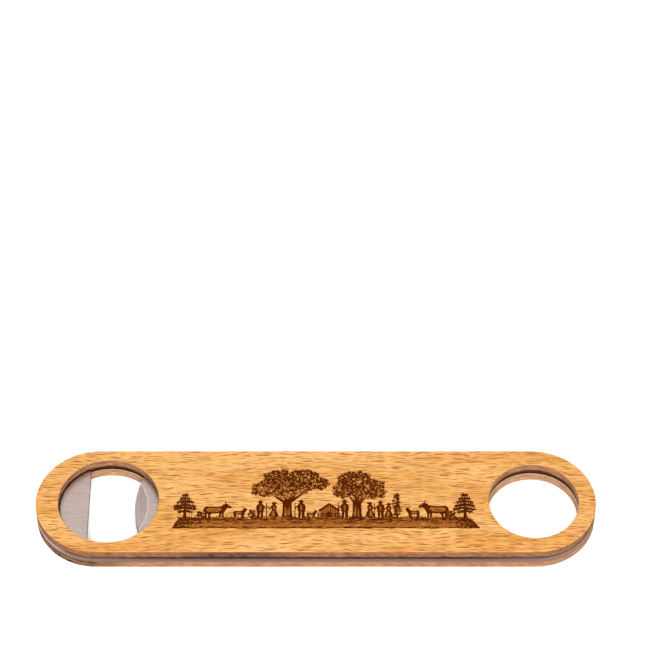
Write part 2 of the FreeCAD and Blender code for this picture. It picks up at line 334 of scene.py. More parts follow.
def draw_barn(picture, x, width, wall_height):
    """A plank barn seen from its gable end."""
    foot = GROUND_TOP - 0.2
    eaves = foot + wall_height
    ridge = eaves + width * 0.42
    half = width / 2
    gable = [(x - half, foot), (x + half, foot), (x + half, eaves), (x, ridge), (x - half, eaves)]
    picture.paint(LIGHT, gable)
    planks = 7
    for i in range(planks + 1):
        plank_x = x - half + width * i / planks
        top = ridge - abs(plank_x - x) / half * (ridge - eaves)
        picture.paint(DEEP, bar(plank_x, foot, plank_x, top, 0.24))
    picture.paint(DEEP, bar(x, foot, x, foot + wall_height * 0.8, width * 0.26))
    for side in (-1, 1):
        overhang_x, overhang_y = x + side * (half + 0.7), eaves - 0.5
        picture.paint(DEEP, bar(overhang_x, overhang_y, x - side * 0.2, ridge + 0.1, 0.75))


def draw_haystack(picture, rng, x, width, height):
    foot = GROUND_TOP - 0.2
    half = width / 2
    mound = [
        (x - half, foot), (x + half, foot), (x + half * 0.85, foot + height * 0.45),
        (x + half * 0.4, foot + height * 0.85), (x, foot + height),
        (x - half * 0.45, foot + height * 0.82), (x - half * 0.9, foot + height * 0.4),
    ]
    picture.paint(DEEP, mound)
    wisps = 12
    for _ in range(wisps):
        y = foot + height * rng.uniform(0.1, 0.6)
        start_x = x + half * rng.uniform(-0.7, 0.6)
        picture.paint(LIGHT, lens(start_x, y, height * 0.3, 0.22, math.pi / 2 + (x - start_x) * 0.3))


# Animals and people, each about one unit long or high, standing at the origin and facing right.

COW = [
    (DEEP, [(-0.33, 0.24), (-0.31, 0.0), (-0.25, 0.0), (-0.24, 0.24)]),
    (DEEP, [(0.07, 0.24), (0.08, 0.0), (0.14, 0.0), (0.16, 0.26)]),
    (DEEP, [
        (-0.45, 0.50), (-0.50, 0.40), (-0.515, 0.16), (-0.53, 0.10), (-0.49, 0.10), (-0.485, 0.2),
        (-0.46, 0.4),
    ]),
    (DEEP, [
        (-0.46, 0.47), (-0.40, 0.53), (-0.2, 0.515), (0.02, 0.52), (0.16, 0.545), (0.25, 0.61),
        (0.31, 0.66), (0.34, 0.645), (0.40, 0.63), (0.46, 0.57), (0.535, 0.50), (0.53, 0.455),
        (0.47, 0.43), (0.40, 0.455), (0.345, 0.41), (0.30, 0.33), (0.26, 0.25), (0.24, 0.17),
        (0.24, 0.0), (0.175, 0.0), (0.17, 0.19), (0.10, 0.22), (-0.08, 0.205), (-0.18, 0.215),
        (-0.22, 0.15), (-0.285, 0.16), (-0.30, 0.21), (-0.37, 0.18), (-0.365, 0.09), (-0.375, 0.0),
        (-0.44, 0.0), (-0.435, 0.12), (-0.455, 0.22), (-0.48, 0.33),
    ]),
    (DEEP, [(0.295, 0.64), (0.275, 0.72), (0.30, 0.765), (0.33, 0.765), (0.31, 0.72), (0.335, 0.65)]),
    (DEEP, [(0.26, 0.615), (0.19, 0.63), (0.21, 0.585), (0.27, 0.58)]),
    (LIGHT, [
        (-0.40, 0.42), (-0.3, 0.475), (-0.05, 0.46), (0.12, 0.48), (0.17, 0.40), (0.05, 0.30),
        (-0.2, 0.28), (-0.38, 0.32),
    ]),
    (DEEP, [(-0.34, 0.40), (-0.1, 0.385), (0.1, 0.41), (-0.1, 0.36)]),
    (DEEP, [(-0.36, 0.345), (-0.15, 0.325), (0.05, 0.345), (-0.15, 0.30)]),
    (UNCUT, [(0.41, 0.575), (0.435, 0.575), (0.435, 0.55), (0.41, 0.55)]),
]

GOAT = [
    (DEEP, [(-0.36, 0.3), (-0.34, 0.0), (-0.26, 0.0), (-0.25, 0.3)]),
    (DEEP, [(0.05, 0.3), (0.08, 0.0), (0.15, 0.0), (0.16, 0.3)]),
    (DEEP, [
        (-0.44, 0.58), (-0.36, 0.64), (-0.1, 0.62), (0.12, 0.64), (0.22, 0.76), (0.27, 0.88),
        (0.36, 0.88), (0.50, 0.76), (0.50, 0.70), (0.42, 0.68), (0.40, 0.58), (0.34, 0.48),
        (0.28, 0.34), (0.26, 0.0), (0.18, 0.0), (0.16, 0.3), (-0.1, 0.28), (-0.28, 0.32),
        (-0.36, 0.2), (-0.38, 0.0), (-0.46, 0.0), (-0.46, 0.3), (-0.50, 0.66), (-0.55, 0.72),
        (-0.48, 0.50),
    ]),
    (DEEP, [(0.28, 0.86), (0.18, 1.0), (0.08, 1.04), (0.10, 0.98), (0.20, 0.90), (0.24, 0.84)]),
    (DEEP, [(0.44, 0.68), (0.47, 0.58), (0.41, 0.60)]),
    (LIGHT, [(-0.34, 0.5), (-0.2, 0.56), (0.08, 0.54), (0.1, 0.44), (-0.2, 0.38)]),
]

HERDER = [
    (DEEP, [(-0.15, 0.0), (-0.02, 0.0), (0.0, 0.44), (-0.14, 0.44)]),
    (DEEP, [(0.04, 0.0), (0.19, 0.0), (0.19, 0.035), (0.14, 0.05), (0.14, 0.44), (0.0, 0.44)]),
    (DEEP, [
        (-0.16, 0.38), (0.16, 0.38), (0.18, 0.60), (0.15, 0.76), (0.06, 0.80), (-0.07, 0.80),
        (-0.16, 0.75), (-0.19, 0.58),
    ]),
    (DEEP, [(0.09, 0.76), (0.17, 0.72), (0.31, 0.55), (0.28, 0.49), (0.21, 0.52), (0.10, 0.63)]),
    (DEEP, [
        (-0.065, 0.78), (-0.085, 0.87), (-0.03, 0.93), (0.06, 0.93), (0.10, 0.87), (0.11, 0.84),
        (0.07, 0.79),
    ]),
    (DEEP, [
        (-0.17, 0.89), (0.19, 0.905), (0.18, 0.945), (0.09, 0.945), (0.07, 1.01), (-0.06, 1.01),
        (-0.08, 0.94), (-0.17, 0.93),
    ]),
    (DEEP, [(0.265, 0.0), (0.305, 0.0), (0.305, 0.86), (0.265, 0.86)]),
    (LIGHT, [(-0.03, 0.45), (0.04, 0.45), (0.05, 0.72), (-0.02, 0.72)]),
    (UNCUT, [(-0.02, 0.05), (0.035, 0.05), (0.005, 0.34)]),
    (UNCUT, [(0.18, 0.60), (0.23, 0.56), (0.245, 0.45), (0.19, 0.44)]),
]

WOMAN = [
    (DEEP, [(-0.10, 0.0), (-0.02, 0.0), (-0.02, 0.15), (-0.09, 0.15)]),
    (DEEP, [(0.03, 0.0), (0.12, 0.0), (0.09, 0.15), (0.03, 0.15)]),
    (DEEP, [
        (-0.25, 0.10), (-0.1, 0.07), (0.1, 0.07), (0.26, 0.11), (0.17, 0.34), (0.10, 0.50),
        (-0.10, 0.50), (-0.17, 0.32),
    ]),
    (DEEP, [
        (-0.10, 0.48), (0.10, 0.48), (0.14, 0.66), (0.12, 0.76), (0.04, 0.80), (-0.05, 0.80),
        (-0.13, 0.74), (-0.14, 0.64),
    ]),
    (DEEP, [(0.10, 0.74), (0.20, 0.61), (0.31, 0.70), (0.34, 0.65), (0.20, 0.51), (0.09, 0.62)]),
    (DEEP, [
        (-0.06, 0.78), (-0.09, 0.86), (-0.06, 0.95), (0.03, 0.98), (0.10, 0.92), (0.10, 0.84),
        (0.06, 0.79),
    ]),
    (DEEP, [(-0.06, 0.86), (-0.15, 0.85), (-0.15, 0.94), (-0.06, 0.95)]),
    (LIGHT, [(-0.04, 0.14), (0.13, 0.14), (0.07, 0.44), (-0.02, 0.44)]),
    (LIGHT, [(-0.05, 0.55), (0.04, 0.55), (0.05, 0.70), (-0.05, 0.70)]),
]


def draw_picture():
    """A made-up pasture between two broad trees."""
    rng = random.Random(11)
    picture = Picture()
    draw_grass(picture, rng)
    foot = GROUND_TOP - 0.15
    draw_fir(picture, rng, -41.9, 10.2, 6.6)
    draw_fir(picture, rng, 47.8, 10.2, 6.8)
    draw_bush(picture, rng, -36.8, 3.6, 2.8)
    draw_bush(picture, rng, 43.4, 3.0, 2.8)
    picture.figure(COW, -31.6, foot, 8.8)
    picture.figure(GOAT, -24.2, foot, 4.6)
    picture.figure(COW, 37.9, foot, 9.4, facing=-1)
    picture.figure(GOAT, 31.0, foot, 4.8, facing=-1)
    draw_bush(picture, rng, -20.4, 2.0, 3.6)
    picture.figure(HERDER, -17.8, foot, 7.0)
    picture.figure(WOMAN, -13.4, foot, 6.6, facing=-1)
    picture.figure(HERDER, -4.6, foot, 7.2, facing=-1)
    picture.figure(GOAT, -1.2, foot, 3.6)
    draw_barn(picture, 4.3, 5.4, 3.4)
    draw_fence(picture, 0.9, 7.6)
    draw_haystack(picture, rng, 7.0, 2.4, 2.4)
    picture.figure(HERDER, 9.3, foot, 7.2, facing=-1)
    picture.figure(WOMAN, 17.4, foot, 6.6)
    picture.figure(HERDER, 20.8, foot, 6.8, facing=-1)
    picture.figure(WOMAN, 23.4, foot, 6.2, facing=-1)
    draw_slim_tree(picture, rng, 26.0, 10.4, 3.0)
    draw_broad_tree(
        picture, rng, -9.2,
        [(-16.6, 4.6, 4.4, 2.8), (-10.4, 3.9, 5.0, 2.5), (-4.6, 4.9, 3.9, 1.8)],
        [(-11.3, 9.0, 5.6, 3.1), (-4.8, 8.9, 6.0, 3.5), (0.2, 6.9, 4.2, 2.5)],
        3.1, 6.6,
    )
    draw_broad_tree(
        picture, rng, 13.2,
        [(9.0, 4.3, 3.8, 3.2), (13.8, 3.3, 4.8, 2.9), (18.6, 3.6, 4.2, 2.5)],
        [(12.6, 7.8, 5.8, 4.0), (17.8, 5.5, 4.6, 3.2)],
        3.0, 6.2,
    )
    draw_ground(picture, rng)
    return picture


# ---------------------------------------------------------------- the top scale, cut with the picture


def triangulated(points, edges):
    """The corners and triangles of the points' hull, cut along the edges."""
    vectors = [Vector(p) for p in points]
    corners, _, triangles, _, _, _ = delaunay_2d_cdt(vectors, edges, [], 0, NEARNESS, False)
    return np.array(corners), np.array(triangles)


def edges_between_tones(triangles, tones):
    """The edges whose two triangles differ in tone."""
    seen = {}
    for triangle, tone in zip(triangles.tolist(), tones.tolist()):
        for i in range(3):
            edge = tuple(sorted((triangle[i], triangle[(i + 1) % 3])))
            seen.setdefault(edge, []).append(tone)
    return [edge for edge, sides in seen.items() if len(sides) == 2 and sides[0] != sides[1]]


def outlines_of(shapes, start):
    """The corners of the shapes, and their edges as pairs of indices counted from start."""
    points = []
    edges = []
    for _, outline in shapes:
        first = start + len(points)
        points += outline
        edges += [(first + i, first + (i + 1) % len(outline)) for i in range(len(outline))]
    return points, edges


def prick_at(x, y):
    """A tiny deep cut with six corners."""
    return DEEP, [(x + PRICK * math.cos(angle), y + PRICK * math.sin(angle)) for angle in range(6)]


def cut_face(picture, rim_points, rim_edges):
    """Triangles of the face inside the rim, each with its tone."""
    points, edges = outlines_of(picture.shapes, len(rim_points))
    pinched = True
    while pinched:
        corners, triangles = triangulated(rim_points + points, rim_edges + edges)
        centres = corners[triangles].mean(axis=1)
        tones = picture.tones_at(centres)
        kept = edges_between_tones(triangles, tones)
        met = Counter(corner for edge in kept for corner in edge)
        used = sorted(met)
        place = {old: len(rim_points) + new for new, old in enumerate(used)}
        points = [tuple(corners[i]) for i in used]
        edges = [(place[a], place[b]) for a, b in kept]
        # where cuts touch at a point only, a pin prick joins them, so that the surface stays whole
        pinched = [corners[c] for c in used if met[c] > 3]
        pricks = [prick_at(x, y) for x, y in pinched]
        picture.shapes += pricks
        prick_points, prick_edges = outlines_of(pricks, len(rim_points) + len(points))
        points += prick_points
        edges += prick_edges
    ends = np.array(rim_points)[np.array(rim_edges)]
    solid = inside(ends[:, 0], ends[:, 1], *centres.T)
    return corners, triangles[solid], tones[solid]


def open_face(made, face):
    """Removes a flat face and returns its rim: vertices, and edges as pairs of their indices."""
    flat = set(face)
    rim = [e for e in made.edges if sum(f in flat for f in e.link_faces) == 1]
    vertices = list({v: None for e in rim for v in e.verts})
    index = {v: i for i, v in enumerate(vertices)}
    edges = [(index[e.verts[0]], index[e.verts[1]]) for e in rim]
    for edge in rim:
        edge.smooth = False
    bmesh.ops.delete(made, geom=face, context="FACES")
    return vertices, edges


def make_engraved_scale():
    """The CAD scale with its top face cut along the picture, each tone to its own depth."""
    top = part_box("top_scale")[1].z
    made = bmesh.new()
    made.from_mesh(frame["nodes"]["top_scale"].data)
    burn = made.verts.layers.float.new("burn")
    bmesh.ops.remove_doubles(made, verts=made.verts, dist=WELD)
    for edge in made.edges:
        edge.smooth = edge.calc_face_angle(math.pi) < SMOOTH_BELOW
    face = [f for f in made.faces if all(abs(v.co.z - top) < WELD for v in f.verts)]
    rim, rim_edges = open_face(made, face)
    rim_points = [(v.co.x / MM, v.co.y / MM) for v in rim]
    corners, triangles, tones = cut_face(draw_picture(), rim_points, rim_edges)

    # the vertices made so far, by corner and level; the rim's own vertices come first
    placed = {}
    for vertex, point in zip(rim, rim_points):
        placed[int(np.hypot(*(corners - point).T).argmin()), UNCUT] = vertex

    def vertex_at(corner, level):
        if (corner, level) not in placed:
            x, y = corners[corner]
            vertex = made.verts.new((x * MM, y * MM, top - DEPTHS[level] * MM))
            vertex[burn] = level / DEEP
            placed[corner, level] = vertex
        return placed[corner, level]

    sides = {}
    for triangle, tone in zip(triangles.tolist(), tones.tolist()):
        made.faces.new([vertex_at(corner, tone) for corner in triangle])
        for i in range(3):
            sides[triangle[i], triangle[(i + 1) % 3]] = tone
    for (a, b), tone in sides.items():
        for level in range(tone, sides.get((b, a), tone)):
            upper = [vertex_at(b, level), vertex_at(a, level)]
            lower = [vertex_at(a, level + 1), vertex_at(b, level + 1)]
            made.faces.new(upper + lower)

    mesh = bpy.data.meshes.new("engraved_scale")
    made.to_mesh(mesh)
    made.free()
    piece = bpy.data.objects.new("engraved_scale", mesh)
    bpy.context.scene.collection.objects.link(piece)
    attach(piece, "root")
    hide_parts("top_scale")
    return piece


# ---------------------------------------------------------------- materials


def rgb(red, green, blue):
    return (red, green, blue, 1.0)


class Graph:
    """A material's node tree, with short calls for the nodes that the materials share."""

    def __init__(self, name):
        self.material = bpy.data.materials.new(name)
        self.material.use_nodes = True
        self.nodes = self.material.node_tree.nodes
        self.links = self.material.node_tree.links
        self.place = self.add("ShaderNodeTexCoord").outputs["Object"]
        self.x, self.y, self.z = self.add("ShaderNodeSeparateXYZ", Vector=self.place).outputs

    def set(self, socket, value):
        """Links a socket to another, or gives it a plain value."""
        if isinstance(value, bpy.types.NodeSocket):
            self.links.new(value, socket)
        else:
            socket.default_value = value

    def add(self, kind, settings=None, **inputs):
        """A node. Inputs are sockets or plain values, by name with _ for a space."""
        made = self.nodes.new(kind)
        for key, value in (settings or {}).items():
            setattr(made, key, value)
        for key, value in inputs.items():
            self.set(made.inputs[key.replace("_", " ")], value)
        return made

    def shade(self, **inputs):
        """Sets the shader's own inputs, named as in add, and returns the finished material."""
        shader = self.nodes["Principled BSDF"]
        for key, value in inputs.items():
            self.set(shader.inputs[key.replace("_", " ")], value)
        return self.material

    def math(self, operation, *values):
        made = self.add("ShaderNodeMath", {"operation": operation})
        for socket, value in zip(made.inputs, values):
            self.set(socket, value)
        return made.outputs[0]

    def vector_math(self, operation, *values):
        made = self.add("ShaderNodeVectorMath", {"operation": operation})
        for socket, value in zip(made.inputs, values):
            self.set(socket, value)
        return made.outputs

    def ramp(self, value, low, high, to_low=0.0, to_high=1.0):
        """A smooth step of value from low to high, put on the range to_low to to_high."""
        made = self.add("ShaderNodeMapRange", {"interpolation_type": "SMOOTHSTEP"}, Value=value)
        limits = {"From Min": low, "From Max": high, "To Min": to_low, "To Max": to_high}
        for key, limit in limits.items():
            self.set(made.inputs[key], limit)
        return made.outputs["Result"]

    def mix(self, factor, first, second):
        """The first colour where factor is 0, the second where it is 1."""
        made = self.add("ShaderNodeMix", {"data_type": "RGBA", "clamp_factor": True})
        self.set(made.inputs[0], factor)
        self.set(made.inputs[6], first)
        self.set(made.inputs[7], second)
        return made.outputs[2]

    def scaled(self, vector, stretch, shift=(0.0, 0.0, 0.0)):
        """The vector times stretch, in cells per millimetre along each axis, moved by shift cells."""
        scale = tuple(s / MM for s in stretch)
        mapping = self.add("ShaderNodeMapping", Vector=vector, Location=shift, Scale=scale)
        return mapping.outputs["Vector"]

    def noise(self, vector, detail=2.0, roughness=0.5):
        settings = {"Scale": 1.0, "Detail": detail, "Roughness": roughness}
        return self.add("ShaderNodeTexNoise", Vector=vector, **settings).outputs["Fac"]

    def flecks(self, vector, cell, half, shift):
        """
        Short thin dashes, one to a cell and each of its own strength. Cell is the size of a cell, and
        half is half the size of a dash, in millimetres along each axis.
        """
        spread = self.scaled(vector, [1.0 / c for c in cell], shift)
        cells = self.add("ShaderNodeTexVoronoi", Vector=spread, Scale=1.0)
        away = self.vector_math("SUBTRACT", spread, cells.outputs["Position"])["Vector"]
        stretched = self.vector_math("MULTIPLY", away, [c / h for c, h in zip(cell, half)])["Vector"]
        reach = self.vector_math("LENGTH", stretched)["Value"]
        strength = self.add("ShaderNodeSeparateColor", Color=cells.outputs["Color"]).outputs["Red"]
        return self.math("MULTIPLY", self.ramp(reach, 1.0, 0.55), self.ramp(strength, 0.0, 0.6))

    def bump(self, height, strength, distance, under=None):
        made = self.add("ShaderNodeBump", Height=height, Strength=strength, Distance=distance)
        if under is not None:
            self.set(made.inputs["Normal"], under)
        return made.outputs["Normal"]

    def steepness(self):
        """1 where the surface is level and faces up, 0 where it is upright, -1 facing down."""
        normal = self.add("ShaderNodeNewGeometry").outputs["Normal"]
        return self.add("ShaderNodeSeparateXYZ", Vector=normal).outputs["Z"]

    def apart(self, first, second):
        """How far two values are from each other."""
        return self.math("ABSOLUTE", self.math("SUBTRACT", first, second))

    def uneven(self, value, noise, amount):
        """The value moved up and down by the noise, by up to half the amount."""
        swing = self.math("MULTIPLY", self.math("SUBTRACT", noise, 0.5), amount)
        return self.math("ADD", value, swing)

    def away_from(self, x, y):
        """The distance, seen from above, from the point (x, y)."""
        level = self.vector_math("MULTIPLY", self.place, (1.0, 1.0, 0.0))["Vector"]
        return self.vector_math("DISTANCE", level, (x, y, 0.0))["Value"]

    def near_holes(self, holes):
        """1 on the walls of the holes, 0 away from them; each hole is its centre and its radius."""
        found = 0.0
        for x, y, radius in holes:
            share = self.ramp(self.away_from(x, y), radius + 2.0 * MM, radius + 1.2 * MM)
            found = self.math("MAXIMUM", found, share)
        return found


def beech_noises(g, shift):
    """The noises of the wood. The grain runs along X and wanders from side to side."""
    wander = g.math("MULTIPLY", g.noise(g.scaled(g.place, (0.03, 0.05, 0.05), shift), 1.0), 7.0 * MM)
    ripple = g.math("MULTIPLY", g.noise(g.scaled(g.place, (0.12, 0.25, 0.25), shift), 2.0), 1.4 * MM)
    across = g.math("ADD", g.y, g.math("ADD", wander, ripple))
    grain = g.add("ShaderNodeCombineXYZ", X=g.x, Y=across, Z=g.z).outputs[0]
    return {
        "broad": g.noise(g.scaled(grain, (0.018, 0.11, 0.15), shift)),
        "bands": g.noise(g.scaled(grain, (0.03, 0.5, 0.4), shift), 3.0, 0.6),
        "rosy": g.noise(g.scaled(grain, (0.06, 0.24, 0.2), shift[::-1]), 2.0, 0.6),
        "dashes": g.noise(g.scaled(grain, (0.15, 2.0, 1.3), shift), 2.0, 0.6),
        "fine_dashes": g.noise(g.scaled(grain, (0.3, 3.7, 2.6), shift), 2.0, 0.6),
        "fibres": g.noise(g.scaled(grain, (0.8, 9.0, 9.0), shift), 2.0, 0.6),
        "flecks": g.flecks(grain, (6.2, 1.25, 2.5), (3.1, 0.19, 3.4), shift),
        "fine_flecks": g.flecks(grain, (4.0, 0.9, 2.0), (2.0, 0.14, 2.6), shift),
        "blotch": g.noise(g.scaled(g.place, (0.3, 0.3, 0.9), shift), 3.0, 0.6),
        "scorch": g.noise(g.scaled(g.place, (1.3, 2.6, 2.0), shift), 3.0, 0.7),
    }


def planed_beech(g, noises):
    """Golden, with pinkish patches, darker and paler dashes, dark flecks and pale fibres."""
    dark_grain = rgb(0.28, 0.082, 0.006)
    pale_grain = rgb(0.61, 0.365, 0.14)
    fleck = rgb(0.18, 0.042, 0.001)
    dashes, fine_dashes = noises["dashes"], noises["fine_dashes"]
    broad = g.ramp(noises["broad"], 0.36, 0.64)
    colour = g.mix(broad, rgb(0.445, 0.185, 0.027), rgb(0.52, 0.28, 0.086))
    colour = g.mix(g.ramp(noises["bands"], 0.35, 0.68, 0.0, 0.6), colour, rgb(0.52, 0.278, 0.079))
    colour = g.mix(g.ramp(noises["rosy"], 0.5, 0.7, 0.0, 0.45), colour, rgb(0.55, 0.255, 0.12))
    colour = g.mix(g.ramp(dashes, 0.47, 0.31, 0.0, 0.36), colour, dark_grain)
    colour = g.mix(g.ramp(dashes, 0.53, 0.68, 0.0, 0.42), colour, pale_grain)
    colour = g.mix(g.ramp(fine_dashes, 0.47, 0.31, 0.0, 0.32), colour, dark_grain)
    colour = g.mix(g.ramp(fine_dashes, 0.55, 0.7, 0.0, 0.38), colour, pale_grain)
    colour = g.mix(g.math("MULTIPLY", noises["flecks"], 0.95), colour, fleck)
    colour = g.mix(g.math("MULTIPLY", noises["fine_flecks"], 0.9), colour, fleck)
    return g.mix(g.ramp(noises["fibres"], 0.35, 0.75, 0.0, 0.16), colour, rgb(0.60, 0.36, 0.13))


# Each of the next four functions takes the colour so far and returns it with one more thing on it.


def edge_highlight_beech(g, colour, steep):
    """Painted highlight: paler where the top face rounds into a side, as where light catches the eased
    edge.
    """
    edge_highlight = g.math("MULTIPLY", g.ramp(steep, 0.995, 0.9), g.ramp(steep, 0.2, 0.5))
    return g.mix(g.math("MULTIPLY", edge_highlight, 0.75), colour, rgb(0.39, 0.24, 0.12))


def smoked_beech(g, colour, noises, side, in_hole, smoke):
    """Darkened along one stretch of the outer edge."""
    centre, reach, strength = smoke
    share = g.ramp(g.apart(g.x, centre), reach, 0.2 * reach, 0.0, strength)
    share = g.math("MULTIPLY", share, g.ramp(noises["blotch"], 0.3, 0.65))
    share = g.math("MULTIPLY", share, g.ramp(in_hole, 1.0, 0.0))
    return g.mix(g.math("MULTIPLY", share, side), colour, rgb(0.046, 0.02, 0.02))


def joint_char_and_shade_beech(g, colour, mottle, side, in_hole, char_and_shade, joint):
    """Charred black along the joint, to an uneven height, with painted shade for the groove at the
    joint.
    """
    outside, in_holes = char_and_shade
    strength = g.ramp(in_hole, 0.0, 1.0, outside, in_holes)
    from_joint = g.apart(g.uneven(g.z, mottle, 1.5 * MM), joint)
    share = g.math("MULTIPLY", g.ramp(from_joint, 0.5 * MM, 0.15 * MM), strength)
    return g.mix(g.math("MULTIPLY", share, side), colour, rgb(0.042, 0.015, 0.007))


def burnt_beech(g, colour, scorch, burn):
    """Brown where the laser only browned the wood, nearly black where it cut deep."""
    light = g.mix(g.ramp(scorch, 0.3, 0.7), rgb(0.14, 0.036, 0.004), rgb(0.30, 0.096, 0.011))
    deep = g.mix(g.ramp(scorch, 0.35, 0.8), rgb(0.034, 0.003, 0.0), rgb(0.105, 0.022, 0.002))
    colour = g.mix(g.ramp(burn, 0.0, 0.4), colour, light)
    return g.mix(g.ramp(burn, 0.55, 0.95), colour, deep)


def beech_material(name, seed, holes, joint, outer, inner, bare_up_and_lit_ledges, char_and_shade, smoke):
    """
    Oiled beech whose cut sides are toasted: outer round the edge, inner in the holes, each a dark and
    a light colour. Bare_up_and_lit_ledges, if given, colours the faces that look up, first away from the
    holes, then near them, where the paler colour is painted light on the ledges. Char_and_shade is the
    strength of the charring and painted shade along the joint, on the edge and in the holes. Smoke is
    the smoked stretch of the edge: its middle along X, half its length, and its strength.
    """
    g = Graph(name)
    noises = beech_noises(g, (seed * 7.3, seed * 3.1, seed * 1.7))
    blotch, fine_dashes, fibres = noises["blotch"], noises["fine_dashes"], noises["fibres"]
    mottle = g.math("ADD", g.math("MULTIPLY", blotch, 0.6), g.math("MULTIPLY", fine_dashes, 0.4))
    toast = g.ramp(mottle, 0.38, 0.62)
    steep = g.steepness()
    side = g.ramp(g.math("ABSOLUTE", steep), 0.5, 0.2)
    in_hole = g.near_holes(holes)
    burn = g.add("ShaderNodeAttribute", {"attribute_name": "burn"}).outputs["Fac"]

    colour = planed_beech(g, noises)
    # faces that look up: bare wood, painted paler near the holes for the light that falls on the ledges
    # there
    if bare_up_and_lit_ledges:
        colour = g.mix(g.ramp(steep, 0.5, 0.9), colour, g.mix(in_hole, *bare_up_and_lit_ledges))
    # painted highlight along the eased edge of the top
    colour = edge_highlight_beech(g, colour, steep)
    colour = g.mix(side, colour, g.mix(in_hole, g.mix(toast, *outer), g.mix(toast, *inner)))
    colour = smoked_beech(g, colour, noises, side, in_hole, smoke)
    # charring and painted shade along the joint
    colour = joint_char_and_shade_beech(g, colour, mottle, side, in_hole, char_and_shade, joint)
    colour = burnt_beech(g, colour, noises["scorch"], burn)

    dull = g.math("MAXIMUM", side, burn)
    rough = g.math("ADD", g.math("MULTIPLY", fibres, 0.2), 0.38)
    pores = g.bump(g.math("ADD", noises["dashes"], noises["flecks"]), 0.3, 0.05 * MM)
    return g.shade(
        Base_Color=colour,
        Roughness=g.math("ADD", rough, g.math("MULTIPLY", dull, 0.3)),
        Specular_IOR_Level=g.ramp(dull, 0.0, 1.0, 0.22, 0.0),
        Normal=g.bump(fibres, 0.25, 0.04 * MM, pores),
    )


def steel_face(g, lines, blotchy_noise, window):
    """Brushed, with a streaked lip painted darker for the shade on its tilt, a painted highlight along
    the crease, and painted shade on the steel at the foot of the window's wall.
    """
    grains = g.noise(g.scaled(g.place, (2.0, 1.7, 2.0)), 2.0, 0.6)
    streaks = g.noise(g.scaled(g.place, (2.6, 0.1, 0.3)), 2.0, 0.6)
    colour = g.mix(g.ramp(lines, 0.35, 0.65), rgb(0.59, 0.48, 0.44), rgb(0.70, 0.585, 0.542))
    colour = g.mix(g.ramp(blotchy_noise, 0.45, 0.75, 0.0, 0.4), colour, rgb(0.51, 0.41, 0.372))
    colour = g.mix(g.ramp(grains, 0.42, 0.68, 0.0, 0.45), colour, rgb(0.82, 0.70, 0.655))

    beyond = g.math("SUBTRACT", g.away_from(CREASE_X, 0.0), CREASE_RADIUS)
    past_mouth = g.ramp(g.x, LIP_START, LIP_START + 1.0 * MM)
    on_lip = g.math("MULTIPLY", past_mouth, g.ramp(beyond, 0.1 * MM, -0.1 * MM))
    # painted shade: the tilted lip is coloured darker than the flat steel, with streaks
    pressed = g.mix(g.ramp(streaks, 0.36, 0.64), rgb(0.45, 0.365, 0.338), rgb(0.62, 0.525, 0.49))
    colour = g.mix(g.math("MULTIPLY", on_lip, 0.8), colour, pressed)
    # painted highlight: a thin, patchy bright line along the crease
    near_crease = g.ramp(g.math("ABSOLUTE", beyond), 0.24 * MM, 0.05 * MM)
    crease_highlight = g.math("MULTIPLY", near_crease, g.ramp(blotchy_noise, 0.35, 0.6, 0.15, 0.9))
    colour = g.mix(crease_highlight, colour, rgb(0.96, 0.9, 0.86))

    window_x, window_y, window_radius = window
    # painted shade on the steel along the foot of the window's wall, uneven, strongest toward its left
    edge = g.uneven(g.away_from(window_x, window_y), blotchy_noise, 0.8 * MM)
    wall_foot_shade = g.ramp(edge, window_radius - 0.75 * MM, window_radius - 0.3 * MM)
    wall_foot_shade = g.math("MULTIPLY", wall_foot_shade, g.ramp(g.x, -62.0 * MM, -72.0 * MM, 0.15, 0.95))
    return g.mix(wall_foot_shade, colour, rgb(0.05, 0.018, 0.006))


def steel_edge(g, blotchy_noise, near_hole_walls, under, over):
    """Brown with scorched adhesive and painted shade: darkest at the upper joint outside, in shade under
    the wood, and at the lower in the holes, whose recessed edge is painted near black; painted
    reflections lighten it toward the ends, most at the cap end.
    """
    height = g.uneven(g.z, blotchy_noise, 1.4 * MM)
    rise = g.ramp(height, under, over)
    # outside, darker toward the upper joint: scorched adhesive, with painted shade under the wood's
    # overhang
    near_top = g.ramp(height, over - 1.3 * MM, over - 0.2 * MM)
    outside = g.mix(near_top, rgb(0.155, 0.095, 0.082), rgb(0.028, 0.012, 0.008))
    # painted reflection: the edge is lighter toward both rounded ends
    ends_reflection = g.ramp(g.math("ABSOLUTE", g.x), 45.0 * MM, 85.0 * MM, 0.0, 0.6)
    outside = g.mix(ends_reflection, outside, rgb(0.24, 0.17, 0.155))
    # painted highlight on the edge round the cap end, brightest in its upper part
    cap_end_highlight = g.ramp(g.x, -78.0 * MM, -84.0 * MM, 0.0, 0.9)
    cap_end_highlight = g.math("MULTIPLY", cap_end_highlight, g.ramp(rise, 0.15, 0.6))
    outside = g.mix(cap_end_highlight, outside, rgb(0.36, 0.30, 0.29))
    # mostly painted shade, with scorched adhesive: the recessed edge in the holes is near black, darkest
    # at the bottom
    in_holes = g.mix(rise, rgb(0.014, 0.004, 0.001), rgb(0.075, 0.03, 0.012))
    return g.mix(near_hole_walls, outside, in_holes)


